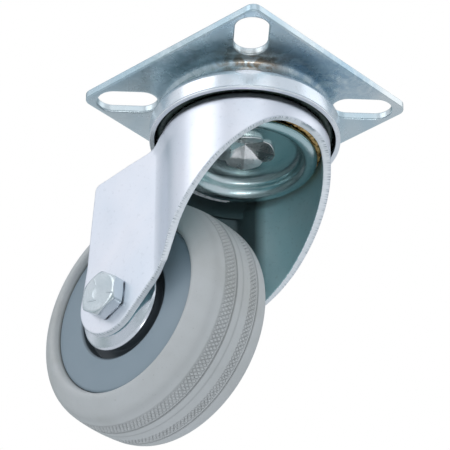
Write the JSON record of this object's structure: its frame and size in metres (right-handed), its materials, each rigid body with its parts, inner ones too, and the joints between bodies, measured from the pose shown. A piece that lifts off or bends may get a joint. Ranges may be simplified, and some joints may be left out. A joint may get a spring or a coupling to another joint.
{
  "type": "swivel castor",
  "caption": "Swivel castor: square slotted plate, ball-race head, pressed steel fork and a grey rubber-tyred wheel on a bolted axle.",
  "frame": {"origin": "centre of the plate's mounting face, on the swivel axis", "axes": "+Z out of the mounting face along the swivel axis, away from the wheel; +X and +Y through the plate's corners, along the slots; the wheel trails towards -X +Y"},
  "size_m": [0.0916, 0.0916, 0.0877],
  "materials": {
    "zinc_plate": "bright zinc plated pressed steel, faint blue cast",
    "zinc_race": "bright zinc plated pressed steel",
    "zinc_fork": "bright zinc plated pressed steel, sheared edges",
    "zinc_cup": "bright zinc plated pressed steel",
    "zinc_bolt": "zinc plated cold-forged steel",
    "zinc_small": "zinc plated pressed steel",
    "pin_steel": "struck steel, plating broken at the struck facets",
    "ball_steel": "polished bearing balls in amber grease",
    "sleeve_steel": "drawn steel tube",
    "nylon": "natural nylon",
    "bush_plastic": "natural acetal",
    "hub_plastic": "satin moulded blue-grey plastic",
    "tyre_rubber": "light grey non-marking rubber, fine knurled bands"
  },
  "bodies": {
    "plate": {"top_plate": "zinc_plate", "upper_race": "zinc_race", "kingpin": "pin_steel", "lower_race": "zinc_cup"},
    "upper_ball_ring": {"upper_balls": "ball_steel"},
    "lower_ball_ring": {"lower_balls": "ball_steel"},
    "fork": {"fork": "zinc_fork", "axle_bolt": "zinc_bolt", "axle_nut": "zinc_bolt", "nut_insert": "nylon", "nut_washer": "zinc_small", "axle_sleeve": "sleeve_steel", "thread_guard_left": "zinc_small", "thread_guard_right": "zinc_small"},
    "wheel": {"hub": "hub_plastic", "bush_left": "bush_plastic", "bush_right": "bush_plastic", "tyre": "tyre_rubber"}
  },
  "joints": [
    {"name": "swivel", "type": "hinge", "parent": "plate", "child": "fork", "pos_m": [0, 0, 0], "axis": [0, 0, 1], "continuous": true},
    {"name": "wheel_spin", "type": "hinge", "parent": "fork", "child": "wheel", "pos_m": [-0.02213, 0.02213, -0.05625], "axis": [-0.7071, -0.7071, 0], "continuous": true},
    {"name": "upper_ball_orbit", "type": "hinge", "parent": "plate", "child": "upper_ball_ring", "pos_m": [0, 0, 0], "axis": [0, 0, 1], "continuous": true},
    {"name": "lower_ball_orbit", "type": "hinge", "parent": "plate", "child": "lower_ball_ring", "pos_m": [0, 0, 0], "axis": [0, 0, 1], "continuous": true}
  ],
  "couplings": [
    {"joint": "upper_ball_orbit", "follows": "swivel", "ratio": 0.46},
    {"joint": "lower_ball_orbit", "follows": "swivel", "ratio": 0.54}
  ]
}
